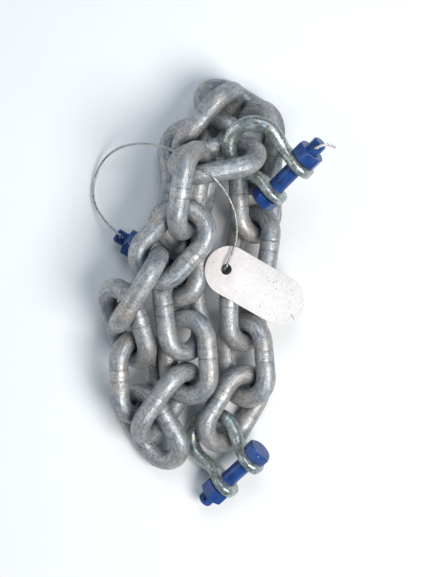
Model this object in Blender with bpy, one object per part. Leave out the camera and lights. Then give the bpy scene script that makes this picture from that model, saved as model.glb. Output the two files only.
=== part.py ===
"""A heap of galvanised short-link chain with three bolt shackles, a tag and its wire.

Lengths below are millimetres; the mesh is written in metres. The heap lies on the
floor z = 0 and its long direction is Y. Each link starts at a place and a lie read
off the photograph by eye (LINKS, SHACKLES) and is then seated by plain geometry:
bars that cut into each other are moved apart, every piece sinks until it rests.
"""
import math

import bmesh
import bpy
import numpy as np
from mathutils import Matrix, Vector

# ---------------------------------------------------------------- dimensions, mm
BAR = 16.0              # chain bar
LINK_LEN = 79.0         # link, outside
LINK_WID = 52.5
SIDES = 10              # sides of the bar
BEND_CUTS = 7           # pieces in each half circle of a link
GAP = 0.45              # clearance between seated pieces
WIRE_GAP = 3.0          # where the tag's wire is caught under chain_link_02

SHACKLE_BAR = 11.2
PIN = 13.5
THREAD = 12.4
JAW = 21.5              # between the ears
EAR_T = 9.5
EAR_OD = 27.0
EAR_RIM = 2.6           # rounding of the ear's rim, for seating
SEAT_IN = 9.25          # inner side of the ears, for seating
BOW_R = 20.4            # centreline radius of the bow
BOW_Y = 33.2            # pin centre to bow centre
HEAD_T = 8.5
HEAD_AF = 20.0
NUT_T = 10.5
NUT_AF = 21.5
TAIL = 10.0             # thread past the nut
COTTER_HOLE = 3.8

TAG_LEN = 90.0
TAG_WID = 40.0
TAG_T = 1.6
TAG_HOLE = 8.8
TAG_HOLE_IN = 17.5      # hole centre from the end of the tag
WIRE = 2.0
PIN_WIRE = 2.4          # wire through the top shackle's bolt

# the view the places are read in: a camera straight above the floor
VIEW_H = 1067.0         # height of the eye above the floor
VIEW_F = 1270.0         # picture scale: pixels times mm
VIEW_X, VIEW_Y = 216.5, 288.5

# the forged ear: distance from the pin's axis towards the bow, half width across
# the bow's plane, half thickness along the pin, and squareness of the section
EAR_FORM = [
    (-13.2, 3.4, 2.8, 2.2), (-12.4, 5.6, 4.0, 2.5), (-10.2, 9.0, 4.55, 3.0), (-6.0, 12.1, 4.75, 3.4), (0.0, 13.3, 4.75, 3.6), (4.5, 12.5, 4.75, 3.4),
    (8.5, 10.4, 4.75, 3.1), (12.5, 7.9, 4.85, 2.7), (16.5, 6.3, 5.2, 2.3), (20.5, 5.8, 5.5, 2.1), (24.5, 5.6, 5.6, 2.0), (29.0, 5.6, 5.6, 2.0),
]
LEG = [(0, 0), (12, 0), (18, 0.9), (23.5, 2.9), (29, 4.45), (33.2, 4.9)]   # how the legs spread from the ears

# name, x, y in the picture, height, heading, rise and roll in degrees
LINKS = [
    ("chain_link_01", 219.5, 159, 64, 9, -4, -62),
    ("chain_link_02", 186.5, 188, 79, 86, 10, 78),
    ("chain_link_03", 175, 250, 62, 47, 4, 8),
    ("chain_link_04", 143.5, 293, 57, 54.5, 4, -80),
    ("chain_link_05", 130.5, 320, 32, 99, 4, -55),
    ("chain_link_06", 130, 379, 24, 91, 0, 30),
    ("chain_link_07", 158, 431, 20, 119, 4, -40),
    ("chain_link_08", 166, 400, 30, 57, 4, 60),
    ("chain_link_09", 189, 356, 30, 92, 0, -25),
    ("chain_link_10", 177, 308, 33, 104, -6, 55),
    ("chain_link_11", 180, 261, 36, 88, 0, -50),
    ("chain_link_12", 190, 192, 30, 64, 0, 42),
    ("chain_link_13", 187, 169.5, 26, 94, -8, -35),
    ("chain_link_14", 208, 124, 38, 57, 8, -88),
    ("chain_link_15", 237.5, 118, 24, -28, 0, -50),
    ("chain_link_16", 258, 148, 24, 90, 12, -42),
    ("chain_link_17", 251, 187, 24, 97, 0, 50),
    ("chain_link_18", 258, 258, 24, 80, -12, -42),
    ("chain_link_19", 238, 302, 26, 98, 0, 55),
    ("chain_link_20", 246.5, 361, 24, 96, 0, -28),
    ("chain_link_21", 233, 410.5, 22, 58.5, 0, 42),
]
# the place is the middle of the pin, the heading runs from the pin to the bow
SHACKLES = [
    ("shackle_top", 285, 178, 58, 137, 6, -25),
    ("shackle_bottom", 237, 471, 26, 127, -20, 158),
    ("shackle_left", 157, 260, 15, 56, 4, 180),
]
TAG_AT = (254.5, 285.5, 58, -27, 0, 0)   # middle of the tag
# the wire from the left shackle's bolt to the tag's hole: x, y in the picture, height
WIRE_AT = [
    (110, 227, 20), (101, 216, 11), (93.5, 203, 5), (92.5, 187, 3), (97.5, 169, 5), (108, 154.5, 12),
    (122, 146.5, 24), (139, 143.5, 42), (153, 144.5, 60), (165, 147, 73), (176, 152, 79), (184, 156.5, 82),
    (190.5, 161.3, 86), (197, 165, 91), (204, 169, 94), (211, 175, 92.5), (218, 182.5, 88), (225, 191.5, 81),
    (231, 202, 75), (235, 214, 69), (237, 228, 63), (236, 242, 58), (232, 253, 55),
]
SEAT_TURNS = 140
SETTLE_TURNS = 60


# ---------------------------------------------------------------- wipe
for ob in list(bpy.data.objects):
    bpy.data.objects.remove(ob, do_unlink=True)


# ---------------------------------------------------------------- curves
def place(px, py, z):
    s = (VIEW_H - z) / VIEW_F
    return np.array([(px - VIEW_X) * s, -(py - VIEW_Y) * s, z])


def lie(heading, rise, roll):
    h, p, r = np.radians([heading, rise, roll])
    u = np.array([np.cos(h) * np.cos(p), np.sin(h) * np.cos(p), np.sin(p)])
    s0 = np.array([-np.sin(h), np.cos(h), 0.0])
    n0 = np.cross(u, s0)
    s = np.cos(r) * s0 + np.sin(r) * n0
    return np.stack([u, s, np.cross(u, s)], 1)


def corner(af):
    return af / 2 / math.cos(math.pi / 6)


def link_point(t):
    """Centreline of a link, t in 0..1 from the middle of the +y leg."""
    R = (LINK_WID - BAR) / 2
    S = (LINK_LEN - BAR) - 2 * R
    per = 2 * S + 2 * math.pi * R
    t = (t % 1.0) * per
    if t < S / 2:
        return (t, R, 0.0)
    t -= S / 2
    if t < math.pi * R:
        return (S / 2 + R * math.sin(t / R), R * math.cos(t / R), 0.0)
    t -= math.pi * R
    if t < S:
        return (S / 2 - t, -R, 0.0)
    t -= S
    if t < math.pi * R:
        return (-S / 2 - R * math.sin(t / R), -R * math.cos(t / R), 0.0)
    t -= math.pi * R
    return (-S / 2 + t, R, 0.0)


def link_centreline(n):
    return np.array([link_point(k / n) for k in range(n)])


def bow_centreline(step):
    """Half hoop with legs, x from the pin to the bow, y along the pin."""
    e = (SEAT_IN + JAW / 2 + EAR_T) / 2
    leg = [(0, e), (7, e), (13, e + 0.2), (18, e + 1.5), (23.5, e + 3.6), (29, e + 5.2), (BOW_Y, BOW_R)]
    pts = []
    for a, b in zip(leg[:-1], leg[1:]):
        m = max(1, int(math.hypot(b[0] - a[0], b[1] - a[1]) / step))
        pts += [(a[0] + (b[0] - a[0]) * k / m, a[1] + (b[1] - a[1]) * k / m) for k in range(m)]
    m = max(8, int(math.pi * BOW_R / step))
    arc = [(BOW_Y + BOW_R * math.sin(math.pi * k / m), BOW_R * math.cos(math.pi * k / m)) for k in range(m + 1)]
    loop = pts + arc + [(x, -y) for x, y in reversed(pts)]
    return np.array([(x, y, 0.0) for x, y in loop])


def forging_sections():
    """The shackle's body as sections from one ear's tip round the bow to the other's:
    middle, half thickness in the bow's plane, half width across it, squareness."""
    e = JAW / 2 + EAR_T / 2
    ear = [((x, e + float(np.interp(x, *zip(*LEG))), 0.0), t, w, p) for x, w, t, p in EAR_FORM]
    m = 11
    r = SHACKLE_BAR / 2
    arc = [((BOW_Y + BOW_R * math.sin(math.pi * k / m), BOW_R * math.cos(math.pi * k / m), 0.0), r, r, 2.0) for k in range(m + 1)]
    far = [((x, -y, 0.0), t, w, p) for (x, y, _), t, w, p in reversed(ear)]
    return ear + arc + far


# ---------------------------------------------------------------- seating
class Piece:
    """A rigid piece as round bars: points with a radius each."""

    def __init__(self, name, pts, rad, pos, rot, hold=1.0):
        self.name = name
        self.hold = hold
        self.free = True
        self.load = 1.0
        self.stiff = hold
        self.mid = pts.mean(0)
        self.P = pts - self.mid
        self.rad = rad
        self.R = rot.copy()
        self.tR = rot.copy()
        self.pos = pos + rot @ self.mid
        self.tpos = self.pos.copy()
        I = (self.P ** 2).sum(1).mean() * np.eye(3) - self.P.T @ self.P / len(self.P)
        self.inv = np.linalg.inv(I)
        self.reach = np.sqrt((self.P ** 2).sum(1)).max() + rad.max()

    def world(self):
        return self.P @ self.R.T + self.pos

    def origin(self):
        return self.pos - self.R @ self.mid

    def weight(self, arm, n):
        if not self.free:
            return 0.0
        c = np.cross(arm, n)
        return 1.0 + c @ (self.R @ self.inv @ self.R.T) @ c

    def push(self, arm, move):
        if not self.free:
            return
        turn = (self.R @ self.inv @ self.R.T) @ np.cross(arm, move)
        self.pos = self.pos + move
        self.R = turned(turn) @ self.R


def turned(w):
    t = math.sqrt(float(w @ w))
    if t < 1e-12:
        return np.eye(3)
    k = w / t
    K = np.array([[0, -k[2], k[1]], [k[2], 0, -k[0]], [-k[1], k[0], 0]])
    return np.eye(3) + math.sin(t) * K + (1 - math.cos(t)) * K @ K


def caught(a, b):
    """The two links that hold the tag's wire between them."""
    return (a.name, b.name) == ("chain_link_01", "chain_link_02")


def touching(pieces, reach, wire=False):
    W = [b.world() for b in pieces]
    out = []
    for i in range(len(pieces)):
        for j in range(i + 1, len(pieces)):
            a, b = pieces[i], pieces[j]
            if not (a.free or b.free):
                continue
            if np.linalg.norm(a.pos - b.pos) > a.reach + b.reach:
                continue
            d = np.sqrt(((W[i][:, None] - W[j][None]) ** 2).sum(2)) - a.rad[:, None] - b.rad[None]
            c = np.argwhere(d < reach + (WIRE_GAP - GAP if wire and caught(a, b) else 0))
            if not len(c):
                continue
            got = []
            for k in np.argsort(d[c[:, 0], c[:, 1]], kind="stable"):
                p = W[i][c[k][0]]
                if any(np.linalg.norm(p - q) < 9 for q in got):
                    continue
                got.append(p)
                out.append((i, j, c[k][0], c[k][1]))
                if len(got) == 5:
                    break
    return out


def part_bars(pieces, pairs, gap, wire=False):
    for i, j, a, b in pairs:
        A, B = pieces[i], pieces[j]
        ra, rb = A.R @ A.P[a], B.R @ B.P[b]
        d = A.pos + ra - B.pos - rb
        L = np.linalg.norm(d)
        room = WIRE_GAP if wire and d[2] < 0 and caught(A, B) else gap
        need = room + A.rad[a] + B.rad[b] - L
        if need <= 0:
            continue
        n = d / L
        lam = need / (A.weight(ra, n) + B.weight(rb, n))
        A.push(ra, n * lam)
        B.push(rb, -n * lam)
    up = np.array([0.0, 0.0, 1.0])
    for b in [b for b in pieces if b.free]:
        for _ in range(2):
            z = (b.P @ b.R.T)[:, 2] + b.pos[2] - b.rad
            k = int(np.argmin(z))
            if z[k] < 0:
                arm = b.R @ b.P[k]
                b.push(arm, up * (-z[k] / b.weight(arm, up)))


def seat(pieces):
    for turn in range(SEAT_TURNS + SETTLE_TURNS):
        f = 1.0 if turn < SEAT_TURNS else max(0.0, 1 - (turn - SEAT_TURNS) / (0.5 * SETTLE_TURNS))
        for b in [b for b in pieces if b.free]:
            k = 0.06 * f * b.hold
            b.pos = b.pos + (b.tpos - b.pos) * np.array([k, k, 0]) - np.array([0, 0, 0.12 * f / b.hold * b.load])
            Q = b.tR @ b.R.T
            ang = math.acos(max(-1.0, min(1.0, (np.trace(Q) - 1) / 2)))
            if ang > 1e-6:
                ax = np.array([Q[2, 1] - Q[1, 2], Q[0, 2] - Q[2, 0], Q[1, 0] - Q[0, 1]]) / (2 * math.sin(ang))
                b.R = turned(ax * ang * 0.08 * f * b.stiff) @ b.R
            u, _, v = np.linalg.svd(b.R)
            b.R = u @ v
        for _ in range(2):
            pairs = touching(pieces, GAP + 0.6)
            for _ in range(4):
                part_bars(pieces, pairs, GAP)


def make_room(pieces):
    """Opens the gap that the tag's wire runs through."""
    for turn in range(120):
        pairs = touching(pieces, GAP + 0.6, True)
        for _ in range(4):
            part_bars(pieces, pairs, GAP, True)


def rim(pts, rad, radius, y, r, n):
    for k in range(n):
        a = 2 * math.pi * k / n
        pts.append(((radius - r) * math.cos(a), y, (radius - r) * math.sin(a)))
        rad.append(r)


def shackle_bars():
    loop = bow_centreline(3.2)
    pts, rad = [tuple(p) for p in loop], [SHACKLE_BAR / 2] * len(loop)
    e = JAW / 2 + EAR_T
    for s in (1, -1):
        for y in (SEAT_IN + EAR_RIM, e - EAR_RIM):
            rim(pts, rad, EAR_OD / 2, s * y, EAR_RIM, 20)
    for y in (e + 2.2, e + HEAD_T - 1.8):
        rim(pts, rad, corner(HEAD_AF), y, 2.2, 18)
    for y in (e + 2.2, e + NUT_T - 1.8):
        rim(pts, rad, corner(NUT_AF), -y, 2.2, 18)
    y = -e - NUT_T - TAIL + PIN / 2 - 0.6
    while y < e:
        pts.append((0, y, 0))
        rad.append(PIN / 2)
        y += 3.5
    return np.array(pts), np.array(rad)


pieces = []
for name, px, py, z, h, p, r in LINKS:
    c = link_centreline(48)
    pieces.append(Piece(name, c, np.full(len(c), BAR / 2), place(px, py, z), lie(h, p, r)))
for name, px, py, z, h, p, r in SHACKLES:
    pts, rad = shackle_bars()
    pieces.append(Piece(name, pts, rad, place(px, py, z), lie(h, p, r), 4.0))
seat(pieces)
make_room(pieces)
where = {b.name: (b.origin(), b.R) for b in pieces}

# the tag drops flat onto the seated heap
grid = [(x, y, 0.0) for x in np.arange(-42, 42.1, 3.0) for y in np.arange(-18, 18.1, 3.0)]
keep = TAG_LEN / 2 - TAG_WID / 2
grid = [g for g in grid if math.hypot(max(abs(g[0]) - keep, 0), g[1]) < TAG_WID / 2 - 0.8]
edge = []
for k in range(48):
    a = 2 * math.pi * k / 48
    edge.append((math.copysign(keep, math.cos(a)) + (TAG_WID / 2 - 0.8) * math.cos(a), (TAG_WID / 2 - 0.8) * math.sin(a), 0.0))
pts = np.array(grid + edge)
tag = Piece("tag", pts, np.full(len(pts), TAG_T / 2), place(*TAG_AT[:3]), lie(*TAG_AT[3:]))
for b in pieces:
    b.free = False
tag.load = 8.0
tag.hold = 3.5
tag.stiff = 0.5
seat(pieces + [tag])
where["tag"] = (tag.origin(), tag.R)


def curve_through(ctrl, step):
    """Smooth curve through points, cut into even steps."""
    c = np.array(ctrl, float)
    c = np.vstack([2 * c[0] - c[1], c, 2 * c[-1] - c[-2]])
    out = []
    for k in range(1, len(c) - 2):
        p0, p1, p2, p3 = c[k - 1:k + 3]
        for t in np.arange(0, 1, 0.05):
            out.append(0.5 * (2 * p1 + (p2 - p0) * t + (2 * p0 - 5 * p1 + 4 * p2 - p3) * t * t + (3 * p1 - p0 - 3 * p2 + p3) * t ** 3))
    out.append(c[-2])
    out = np.array(out)
    s = np.concatenate([[0], np.cumsum(np.linalg.norm(np.diff(out, axis=0), axis=1))])
    n = max(4, int(round(s[-1] / step)) + 1)
    return np.stack([np.interp(np.linspace(0, s[-1], n), s, out[:, k]) for k in range(3)], 1)


def clear_of(path, pieces, r, gap, held0, held1):
    """Moves the inner points of a wire out of the pieces and keeps it smooth."""
    path = path.copy()
    balls = np.concatenate([b.world() for b in pieces])
    rads = np.concatenate([b.rad for b in pieces])
    last = len(path) - held1
    for turn in range(60):
        if turn < 30:
            mid = (path[:-2] + path[2:]) / 2
            path[held0:last] += 0.08 * (mid[held0 - 1:last - 1] - path[held0:last])
        for k in range(held0, last):
            d = path[k] - balls
            L = np.linalg.norm(d, axis=1)
            need = rads + r + gap - L
            j = int(np.argmax(need))
            if need[j] > 0:
                path[k] += d[j] / L[j] * need[j]
            path[k][2] = max(path[k][2], r + 0.05)
    return path


# the wire hooks through the left bolt's hole, and through the tag's
def bolt_hole(name):
    o, R = where[name]
    y = -JAW / 2 - EAR_T - NUT_T - TAIL + 4.5
    return o + R @ np.array([0, y, 0]), R


hole, R = bolt_hole("shackle_left")
up = R[:, 2] * math.copysign(1.0, R[2, 2])
first = [hole - up * 8.5, hole - up * 4, hole + up * 4, hole + up * 8.5]
tag_o, tag_R = where["tag"]
tag_up = tag_R[:, 2] * math.copysign(1.0, tag_R[2, 2])
eye = tag_o + tag_R @ np.array([-(TAG_LEN / 2 - TAG_HOLE_IN) - 1.8, 0, 0])
last = [eye + tag_up * 8 + np.array([1.5, 6.0, 0]), eye + tag_up * 3.5, eye - tag_up * 3.0]
wire_path = curve_through(first + [place(*p) for p in WIRE_AT] + last, 4.6)
wire_path = clear_of(wire_path, pieces, WIRE / 2, 0.5, 5, 3)
print("wire", len(wire_path), "points", np.linalg.norm(np.diff(wire_path, axis=0), axis=1).sum(), "mm, lowest", wire_path[:, 2].min())

hole, R = bolt_hole("shackle_top")
up = R[:, 2] * math.copysign(1.0, R[2, 2])
out = -R[:, 1]
pin_path = curve_through([
    hole - up * 10, hole - up * 5, hole, hole + up * 7, hole + up * 10 + out * 3,
    hole + up * 8 + out * 8 + np.array([3, -2, 0]), hole + up * 5 + out * 10 + np.array([9, -7, 0]),
], 4.0)


# ---------------------------------------------------------------- mesh helpers
def material(name, colour, rough, metal):
    m = bpy.data.materials.get(name)
    if m:
        return m
    m = bpy.data.materials.new(name)
    m.use_nodes = True
    b = m.node_tree.nodes["Principled BSDF"]
    b.inputs["Base Color"].default_value = (*colour, 1)
    b.inputs["Roughness"].default_value = rough
    b.inputs["Metallic"].default_value = metal
    return m


def make(name, verts, faces, mat, smooth=True):
    me = bpy.data.meshes.new(name)
    me.from_pydata([tuple(float(x) for x in v) for v in verts], [], faces)
    me.validate()
    bm = bmesh.new()
    bm.from_mesh(me)
    bmesh.ops.recalc_face_normals(bm, faces=bm.faces)
    bm.to_mesh(me)
    bm.free()
    ob = bpy.data.objects.new(name, me)
    bpy.context.scene.collection.objects.link(ob)
    me.materials.append(mat)
    for p in me.polygons:
        p.use_smooth = smooth
    return ob


def tube(path, radius, sides, closed, side_vec):
    """Round bar along a planar path; side_vec is the normal of its plane."""
    path = np.asarray(path, float)
    n = len(path)
    verts, faces = [], []
    nrm = np.array(side_vec, float)
    for k in range(n):
        if closed:
            t = path[(k + 1) % n] - path[k - 1]
        else:
            t = path[min(k + 1, n - 1)] - path[max(k - 1, 0)]
        t /= np.linalg.norm(t)
        s = np.cross(nrm, t)
        s /= np.linalg.norm(s)
        for q in range(sides):
            a = 2 * math.pi * (q + 0.5) / sides
            verts.append(path[k] + radius * (math.cos(a) * s + math.sin(a) * nrm))
    last = n if closed else n - 1
    for k in range(last):
        k2 = (k + 1) % n
        for q in range(sides):
            q2 = (q + 1) % sides
            faces.append((k * sides + q, k2 * sides + q, k2 * sides + q2, k * sides + q2))
    if not closed:
        faces.append(tuple(range(sides)))
        faces.append(tuple((n - 1) * sides + q for q in reversed(range(sides))))
    return verts, faces


def prism(radius, sides, x0, x1, axis="y", phase=0.0):
    """Straight prism along an axis, radius to its corners."""
    verts = []
    for x in (x0, x1):
        for k in range(sides):
            a = 2 * math.pi * k / sides + phase
            c, s = radius * math.cos(a), radius * math.sin(a)
            verts.append({"y": (c, x, s), "x": (x, c, s), "z": (c, s, x)}[axis])
    faces = [tuple(range(sides)), tuple(reversed(range(sides, 2 * sides)))]
    faces += [(k, (k + 1) % sides, (k + 1) % sides + sides, k + sides) for k in range(sides)]
    return verts, faces


def forging(sections, sides):
    """One closed skin over sections that turn with the path; z is across its plane."""
    mid = np.array([m for m, *_ in sections])
    verts, faces = [], []
    n = len(sections)
    for k, (m, t, w, p) in enumerate(sections):
        d = mid[min(k + 1, n - 1)] - mid[max(k - 1, 0)]
        d /= np.linalg.norm(d)
        side = np.array([d[1], -d[0], 0.0])
        for q in range(sides):
            a = 2 * math.pi * (q + 0.5) / sides
            c, s = math.cos(a), math.sin(a)
            c = math.copysign(abs(c) ** (2 / p), c)
            s = math.copysign(abs(s) ** (2 / p), s)
            verts.append(np.array(m) + side * t * c + np.array([0, 0, w * s]))
    for k in range(n - 1):
        faces += [(k * sides + q, (k + 1) * sides + q, (k + 1) * sides + (q + 1) % sides, k * sides + (q + 1) % sides) for q in range(sides)]
    faces += [tuple(range(sides)), tuple((n - 1) * sides + q for q in reversed(range(sides)))]
    return verts, faces


def boolean(ob, other, op):
    m = ob.modifiers.new(op, "BOOLEAN")
    m.operation = op
    m.solver = "EXACT"
    m.object = other
    dg = bpy.context.evaluated_depsgraph_get()
    me = bpy.data.meshes.new_from_object(ob.evaluated_get(dg))
    ob.modifiers.clear()
    old = ob.data
    ob.data = me
    bpy.data.meshes.remove(old)
    bpy.data.objects.remove(other, do_unlink=True)
    return ob


def to_world(ob, name, origin, rot):
    """mm in the piece's own frame to metres in the heap."""
    M = Matrix(((*rot[0], origin[0]), (*rot[1], origin[1]), (*rot[2], origin[2]), (0, 0, 0, 1)))
    ob.data.transform(M)
    ob.name = name
    ob.data.name = name
    return ob


ZINC = material("galvanised", (0.52, 0.54, 0.56), 0.45, 0.85)
FORGED = material("galvanised_forged", (0.50, 0.53, 0.53), 0.35, 0.9)
BLUE = material("blue_paint", (0.04, 0.10, 0.42), 0.35, 0.0)
TAGMAT = material("tag_plastic", (0.86, 0.82, 0.80), 0.5, 0.0)
STEEL = material("wire_steel", (0.55, 0.55, 0.55), 0.35, 0.95)

solids = []

# ---------------------------------------------------------------- links
R_END = (LINK_WID - BAR) / 2
S_LEG = (LINK_LEN - BAR) - 2 * R_END
PER = 2 * S_LEG + 2 * math.pi * R_END
stops = [0.0, S_LEG / 2]
stops += [S_LEG / 2 + math.pi * R_END * k / BEND_CUTS for k in range(1, BEND_CUTS + 1)]
stops += [S_LEG * 1.0 + math.pi * R_END, S_LEG * 1.5 + math.pi * R_END]
stops += [S_LEG * 1.5 + math.pi * R_END * (1 + k / BEND_CUTS) for k in range(1, BEND_CUTS + 1)]
ring = [link_point(s / PER) for s in stops]
for name, *_ in LINKS:
    o, R = where[name]
    v, f = tube(ring, BAR / 2, SIDES, True, (0, 0, 1))
    solids.append(to_world(make(name, v, f, ZINC), name, o, R))

# ---------------------------------------------------------------- shackles
for name, *_ in SHACKLES:
    o, R = where[name]
    v, f = forging(forging_sections(), 14)
    body = make("body", v, f, FORGED)
    v, f = prism(PIN / 2 + 0.4, 16, -40, 40)
    boolean(body, make("hole", v, f, FORGED), "DIFFERENCE")
    solids.append(to_world(body, name + "_body", o, R))

    ear = JAW / 2 + EAR_T
    v, f = prism(corner(HEAD_AF), 6, ear + 0.35, ear + 0.35 + HEAD_T)
    bolt = make("bolt", v, f, BLUE, smooth=False)
    v, f = prism(PIN / 2, 16, -ear + 0.5, ear + 3)
    boolean(bolt, make("shank", v, f, BLUE), "UNION")
    v, f = prism(THREAD / 2, 16, -ear - 0.35 - NUT_T - TAIL, -ear + 4)
    boolean(bolt, make("thread", v, f, BLUE), "UNION")
    v, f = prism(COTTER_HOLE / 2, 8, -20, 20, "z")
    hole = make("cotter_hole", [(a, b - ear - NUT_T - TAIL + 4.5, c) for a, b, c in v], f, BLUE)
    boolean(bolt, hole, "DIFFERENCE")
    solids.append(to_world(bolt, name + "_bolt", o, R))

    v, f = prism(corner(NUT_AF), 6, -ear - 0.35 - NUT_T, -ear - 0.35, phase=0.3)
    nut = make("nut", v, f, BLUE, smooth=False)
    v, f = prism(THREAD / 2 + 0.4, 16, -ear - NUT_T - 20, 0)
    boolean(nut, make("bore", v, f, BLUE), "DIFFERENCE")
    solids.append(to_world(nut, name + "_nut", o, R))

# ---------------------------------------------------------------- tag
o, R = where["tag"]
half = TAG_LEN / 2 - TAG_WID / 2
rim_pts = []
for k in range(17):
    a = -math.pi / 2 + math.pi * k / 16
    rim_pts.append((half + TAG_WID / 2 * math.cos(a), TAG_WID / 2 * math.sin(a)))
rim_pts += [(-x, -y) for x, y in rim_pts]
n = len(rim_pts)
v = [(x, y, -TAG_T / 2) for x, y in rim_pts] + [(x, y, TAG_T / 2) for x, y in rim_pts]
f = [tuple(reversed(range(n))), tuple(range(n, 2 * n))] + [(k, (k + 1) % n, (k + 1) % n + n, k + n) for k in range(n)]
tag_ob = make("tag", v, f, TAGMAT, smooth=False)
v, f = prism(TAG_HOLE / 2, 20, -5, 5, "z")
boolean(tag_ob, make("tag_hole", [(x - TAG_LEN / 2 + TAG_HOLE_IN, y, z) for x, y, z in v], f, TAGMAT), "DIFFERENCE")
to_world(tag_ob, "tag", o, R)


def wire_object(name, path, radius, mat):
    cu = bpy.data.curves.new(name, "CURVE")
    cu.dimensions = "3D"
    cu.bevel_depth = radius / 1000
    cu.bevel_resolution = 2
    cu.use_fill_caps = True
    sp = cu.splines.new("POLY")
    sp.points.add(len(path) - 1)
    for p, c in zip(sp.points, path):
        p.co = (*[float(x) / 1000 for x in c], 1.0)
    sp.use_smooth = True
    cu.materials.append(mat)
    ob = bpy.data.objects.new(name, cu)
    bpy.context.scene.collection.objects.link(ob)
    return ob


# ---------------------------------------------------------------- to the frame
lo = np.array([1e9] * 3)
hi = -lo
for ob in solids:
    c = np.array([tuple(v.co) for v in ob.data.vertices])
    lo, hi = np.minimum(lo, c.min(0)), np.maximum(hi, c.max(0))
lo = np.minimum(lo, pin_path.min(0) - PIN_WIRE / 2)
hi = np.maximum(hi, pin_path.max(0) + PIN_WIRE / 2)
shift = Vector((-(lo[0] + hi[0]) / 2, -(lo[1] + hi[1]) / 2, -lo[2]))
for ob in solids + [tag_ob]:
    ob.data.transform(Matrix.Translation(shift))
    ob.data.transform(Matrix.Scale(0.001, 4))
move = np.array(shift)
wire_object("tag_wire", wire_path + move, WIRE / 2, STEEL)
wire_object("shackle_top_pin_wire", pin_path + move, PIN_WIRE / 2, STEEL)
print("size mm", hi - lo, "shift", shift)
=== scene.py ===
import math

import bmesh
import bpy
import numpy as np
from mathutils import Matrix, Vector, noise
from mathutils.bvhtree import BVHTree


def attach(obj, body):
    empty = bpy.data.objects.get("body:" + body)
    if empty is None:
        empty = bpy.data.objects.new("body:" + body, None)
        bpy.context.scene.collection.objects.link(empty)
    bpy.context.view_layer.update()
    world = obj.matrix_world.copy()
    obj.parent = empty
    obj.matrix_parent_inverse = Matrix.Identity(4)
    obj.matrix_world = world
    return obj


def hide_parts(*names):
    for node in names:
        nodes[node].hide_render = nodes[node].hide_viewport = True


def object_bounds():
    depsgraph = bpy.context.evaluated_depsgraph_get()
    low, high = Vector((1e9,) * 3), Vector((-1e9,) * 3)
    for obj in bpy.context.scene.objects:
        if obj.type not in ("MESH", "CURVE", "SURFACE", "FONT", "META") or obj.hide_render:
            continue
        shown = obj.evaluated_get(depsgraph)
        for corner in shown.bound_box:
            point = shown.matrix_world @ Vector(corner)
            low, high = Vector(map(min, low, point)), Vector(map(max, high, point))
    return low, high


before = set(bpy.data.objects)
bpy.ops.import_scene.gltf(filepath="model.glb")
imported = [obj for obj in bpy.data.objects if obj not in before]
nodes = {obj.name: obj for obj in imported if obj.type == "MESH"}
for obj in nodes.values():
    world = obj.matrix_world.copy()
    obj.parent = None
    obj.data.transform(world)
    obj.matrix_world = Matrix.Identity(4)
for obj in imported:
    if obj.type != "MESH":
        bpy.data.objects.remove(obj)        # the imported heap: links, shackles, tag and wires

cad_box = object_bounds()
MM = 0.001

# ------------------------------------------------------------------ sizes, mm
BAR = 16.0
LINK_LEN = 79.0
LINK_WID = 52.5
SHACKLE_BAR = 11.2
PIN = 13.5
THREAD = 12.4
JAW = 21.5
EAR_T = 9.5
BOW_R = 20.4
BOW_Y = 33.2
HEAD_T = 8.5
HEAD_AF = 20.0
NUT_T = 10.5
NUT_AF = 21.5
TAIL = 10.0
PITCH = 1.81
TAG_LEN = 90.0
TAG_WID = 40.0
TAG_T = 1.6
TAG_HOLE = 8.8
TAG_HOLE_IN = 17.5
WIRE = 2.0
PIN_WIRE = 2.4

# the camera stands straight above the heap, as the photographer did
EYE = Vector((1.3599, 3.5068, 1066.996)) * MM
FOCAL = 1270.0           # picture scale, pixels of a 433 x 577 picture


def seen_at(p):
    """Where a point of the heap lies in the picture."""
    k = FOCAL / (EYE.z - p[2])
    return 216.5 + (p[0] - EYE.x) * k, 288.5 - (p[1] - EYE.y) * k


# ------------------------------------------------------------------ camera
cam_data = bpy.data.cameras.new("camera")
cam_data.sensor_fit = "AUTO"
cam_data.sensor_width = 36.0
cam_data.lens = 36.0 * FOCAL / 577.0
cam_data.clip_start = 0.05
cam_data.clip_end = 20.0
cam = bpy.data.objects.new("camera", cam_data)
cam.location = EYE
bpy.context.scene.collection.objects.link(cam)
bpy.context.scene.camera = cam


# ------------------------------------------------------------------ reading the frame
def surface(name):
    me = nodes[name].data
    me.calc_loop_triangles()
    co = np.array([v.co for v in me.vertices], float)
    tri = np.array([t.vertices for t in me.loop_triangles], int)
    return co, tri


def axes_of(name):
    """Centre and principal axes of a solid's skin, longest first."""
    co, tri = surface(name)
    a, b, c = co[tri[:, 0]], co[tri[:, 1]], co[tri[:, 2]]
    area = np.linalg.norm(np.cross(b - a, c - a), axis=1) / 2
    centre = ((a + b + c) / 3 * area[:, None]).sum(0) / area.sum()
    a, b, c = a - centre, b - centre, c - centre
    s = a + b + c
    m = np.zeros((3, 3))
    for v in (a, b, c, s):
        m += np.einsum("i,ij,ik->jk", area / 12, v, v)
    w, e = np.linalg.eigh(m / area.sum())
    u, v = e[:, 2], e[:, 1]
    u = u * math.copysign(1, u[int(np.argmax(np.abs(u)))])
    v = v * math.copysign(1, v[int(np.argmax(np.abs(v)))])
    return centre, np.stack([u, v, np.cross(u, v)], 1), np.sqrt(w[::-1])


def pose(centre, rot):
    return Matrix(((*rot[0], centre[0]), (*rot[1], centre[1]), (*rot[2], centre[2]), (0, 0, 0, 1)))


def nz(p, scale, seed=0.0):
    """Smooth noise, about -1 to 1, over a length of scale."""
    return noise.noise(Vector((p[0] / scale + seed, p[1] / scale - seed * 0.7, p[2] / scale + seed * 1.3)))


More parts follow.
